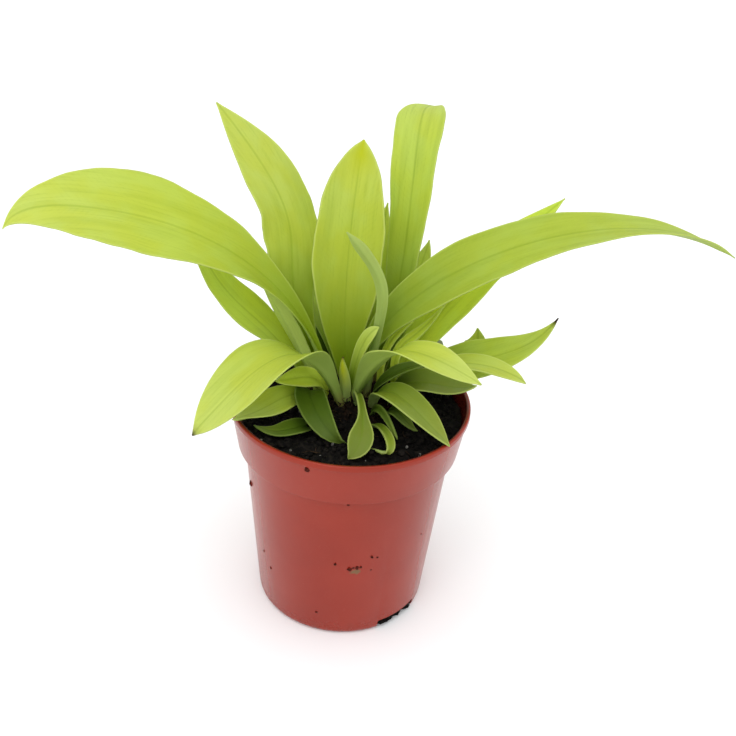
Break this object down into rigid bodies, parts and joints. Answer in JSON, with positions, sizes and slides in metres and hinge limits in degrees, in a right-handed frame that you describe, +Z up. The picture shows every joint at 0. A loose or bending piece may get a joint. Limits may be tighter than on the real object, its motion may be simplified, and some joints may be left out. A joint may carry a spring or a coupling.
{
  "type": "potted fern",
  "caption": "Young fern with smooth strap-shaped fronds, growing from a brown rootstock in a small tapered nursery pot with a stepped collar, filled with dark soil.",
  "frame": {"origin": "centre of the pot's flat underside, on the pot's axis", "axes": "+Z up along the pot's axis; +X along the line of the two longest fronds, towards the slimmer one; -Y is the pictured front"},
  "size_m": [0.161, 0.0793, 0.1234],
  "materials": {
    "pot_plastic": "satin",
    "potting_soil": "matte",
    "rootstock": "matte",
    "leaf_bright": "satin",
    "leaf_middle": "satin",
    "leaf_shade": "satin"
  },
  "bodies": {
    "root": {"pot": "pot_plastic", "soil": "potting_soil", "crown": "rootstock", "left_long": "leaf_bright", "left_upright": "leaf_bright", "centre_upright": "leaf_bright", "right_upright": "leaf_middle", "right_long": "leaf_middle", "right_behind": "leaf_middle", "back_slim": "leaf_middle", "back_upright": "leaf_middle", "left_low_back": "leaf_middle", "left_slim": "leaf_middle", "left_arch": "leaf_bright", "left_under": "leaf_bright", "left_low": "leaf_bright", "left_soil": "leaf_shade", "front_left": "leaf_shade", "front_small": "leaf_middle", "right_front": "leaf_middle", "right_arch": "leaf_bright", "right_slim": "leaf_bright", "right_dark_tip": "leaf_middle", "right_low": "leaf_middle", "right_inner": "leaf_shade", "centre_small": "leaf_middle", "centre_bud": "leaf_middle", "centre_front": "leaf_middle", "front_curl": "leaf_middle", "front_thin": "leaf_shade", "right_soil": "leaf_shade", "right_tip_behind": "leaf_middle", "fan_left": "leaf_middle", "fan_right": "leaf_middle", "back_left_low": "leaf_shade", "back_left": "leaf_middle", "back_centre": "leaf_middle", "back_right": "leaf_middle", "back_right_low": "leaf_shade"}
  },
  "joints": []
}
